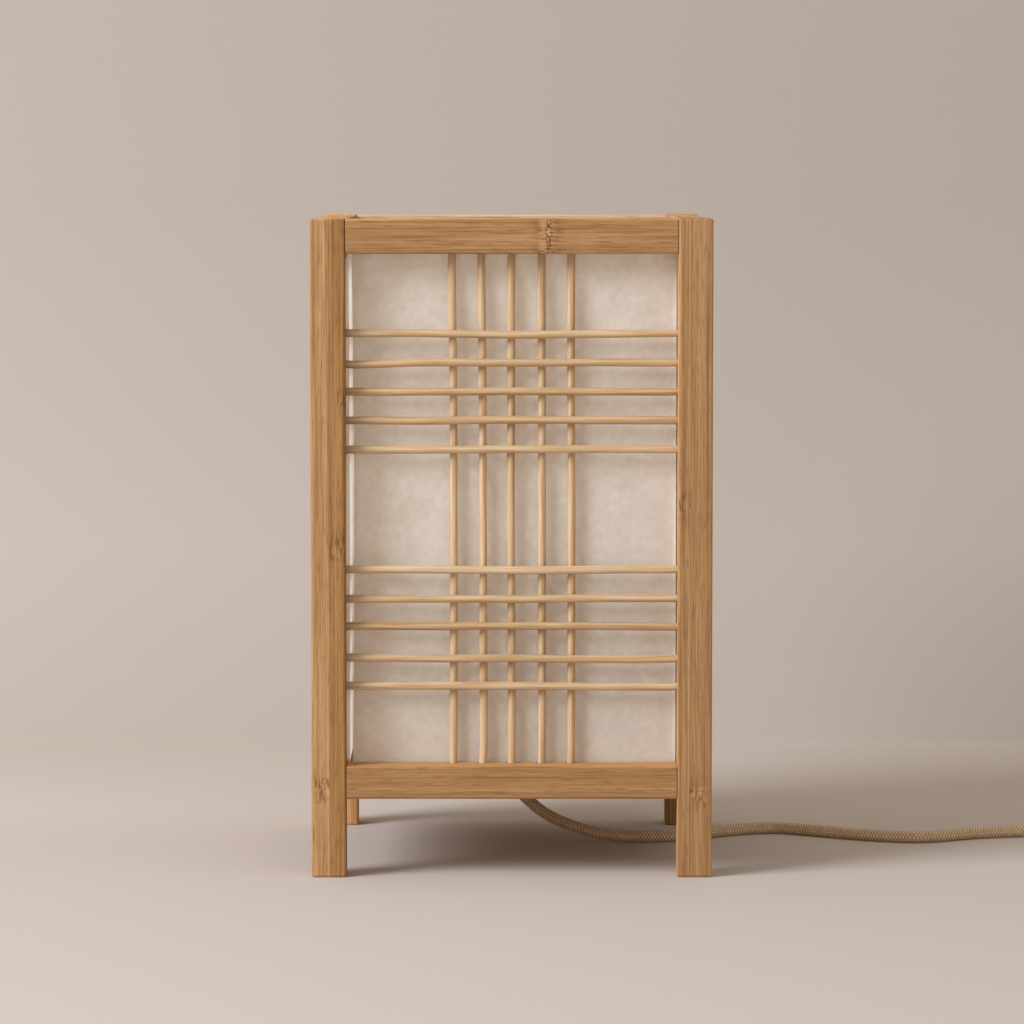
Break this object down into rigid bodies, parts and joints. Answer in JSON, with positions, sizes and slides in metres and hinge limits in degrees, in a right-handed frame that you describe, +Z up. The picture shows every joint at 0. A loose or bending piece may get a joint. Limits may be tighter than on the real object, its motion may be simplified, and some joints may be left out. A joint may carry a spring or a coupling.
{
  "type": "table lamp",
  "caption": "Square bamboo table lamp: paper panels behind stick lattices in a jointed frame, with a screw lampholder, bulb and fabric cord with switch and plug.",
  "frame": {"origin": "middle of the lamp on the surface that it stands on", "axes": "+Z up, -Y out of the front, +X to the right seen from the front, where the cord runs out"},
  "size_m": [0.5798, 0.2, 0.329],
  "materials": {
    "laminated_bamboo": "satin",
    "split_bamboo": "satin",
    "mulberry_paper": "matte",
    "base_board_bamboo": "matte",
    "black_phenolic": "satin",
    "brass": "satin",
    "zinc_steel": "satin",
    "black_rubber": "matte",
    "opal_glass": "satin",
    "bulb_aluminium": "satin",
    "solder": "satin",
    "braided_cotton": "matte",
    "black_strap": "matte",
    "brown_plastic": "satin",
    "dark_plastic": "satin",
    "nickel": "polished"
  },
  "bodies": {
    "lamp": {"post_front_left": "laminated_bamboo", "post_front_right": "laminated_bamboo", "post_rear_right": "laminated_bamboo", "post_rear_left": "laminated_bamboo", "top_rail_front": "laminated_bamboo", "bottom_rail_front": "laminated_bamboo", "top_rail_right": "laminated_bamboo", "bottom_rail_right": "laminated_bamboo", "top_rail_rear": "laminated_bamboo", "bottom_rail_rear": "laminated_bamboo", "top_rail_left": "laminated_bamboo", "bottom_rail_left": "laminated_bamboo", "paper_panel_front": "mulberry_paper", "paper_panel_right": "mulberry_paper", "paper_panel_rear": "mulberry_paper", "paper_panel_left": "mulberry_paper", "lattice_right": "split_bamboo", "lattice_rear": "split_bamboo", "lattice_left": "split_bamboo", "upright_stick_1": "split_bamboo", "upright_stick_2": "split_bamboo", "upright_stick_3": "split_bamboo", "upright_stick_4": "split_bamboo", "upright_stick_5": "split_bamboo", "level_stick_01": "split_bamboo", "level_stick_02": "split_bamboo", "level_stick_03": "split_bamboo", "level_stick_04": "split_bamboo", "level_stick_05": "split_bamboo", "level_stick_06": "split_bamboo", "level_stick_07": "split_bamboo", "level_stick_08": "split_bamboo", "level_stick_09": "split_bamboo", "level_stick_10": "split_bamboo", "base_board": "base_board_bamboo", "lampholder_flange": "black_phenolic", "lampholder_body": "black_phenolic", "thread_sleeve": "brass", "centre_contact": "brass", "holder_screw_1": "zinc_steel", "holder_screw_2": "zinc_steel", "holder_nut_1": "zinc_steel", "holder_nut_2": "zinc_steel", "cord_bushing": "black_rubber", "cord_lead": "braided_cotton", "cord_coil": "braided_cotton", "coil_tie": "black_strap", "switch_lower_shell": "brown_plastic", "switch_upper_shell": "brown_plastic", "switch_screw_1": "zinc_steel", "switch_screw_2": "zinc_steel", "plug_body": "brown_plastic", "plug_pin_1": "nickel", "plug_pin_2": "nickel"},
    "bulb_foot": {"bulb_foot_contact": "solder"},
    "bulb": {"bulb_cap": "bulb_aluminium", "bulb_glass": "opal_glass"},
    "rocker": {"switch_rocker": "dark_plastic"}
  },
  "joints": [
    {"name": "bulb_lift", "type": "slide", "parent": "lamp", "child": "bulb_foot", "axis": [0, 0, 1], "range_m": [0, 0.0182]},
    {"name": "bulb_turn", "type": "hinge", "parent": "bulb_foot", "child": "bulb", "pos_m": [0, 0, 0.0667], "axis": [0, 0, 1], "range_deg": [0, 1800]},
    {"name": "rocker_tilt", "type": "hinge", "parent": "lamp", "child": "rocker", "pos_m": [0.339, 0.043, 0.0124], "axis": [0, 1, 0], "range_deg": [0, 14]}
  ],
  "couplings": [
    {"joint": "bulb_lift", "follows": "bulb_turn", "m_per_rad": 0.00057757}
  ]
}
